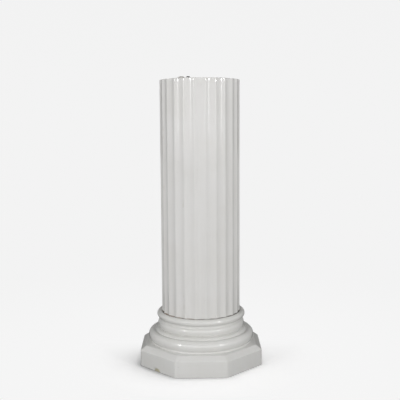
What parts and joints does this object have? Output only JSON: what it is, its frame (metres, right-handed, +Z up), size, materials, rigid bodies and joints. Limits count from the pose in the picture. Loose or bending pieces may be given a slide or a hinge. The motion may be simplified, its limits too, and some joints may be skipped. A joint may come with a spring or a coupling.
{
  "type": "pedestal column",
  "caption": "Fluted cylindrical ceramic pedestal column with a flat closed top, standing in a moulded base on an octagonal plinth.",
  "frame": {"origin": "on the ground, in the middle of the octagonal plinth", "axes": "+Z up along the column's axis; the front is -Y, where one flat side of the plinth and one flute face"},
  "size_m": [0.3416, 0.3416, 0.8],
  "materials": {
    "shaft_glaze": "glossy off-white glaze",
    "base_glaze": "glossy off-white glaze, bare clay at one small chip"
  },
  "bodies": {
    "root": {"shaft": "shaft_glaze", "base": "base_glaze"}
  },
  "joints": []
}
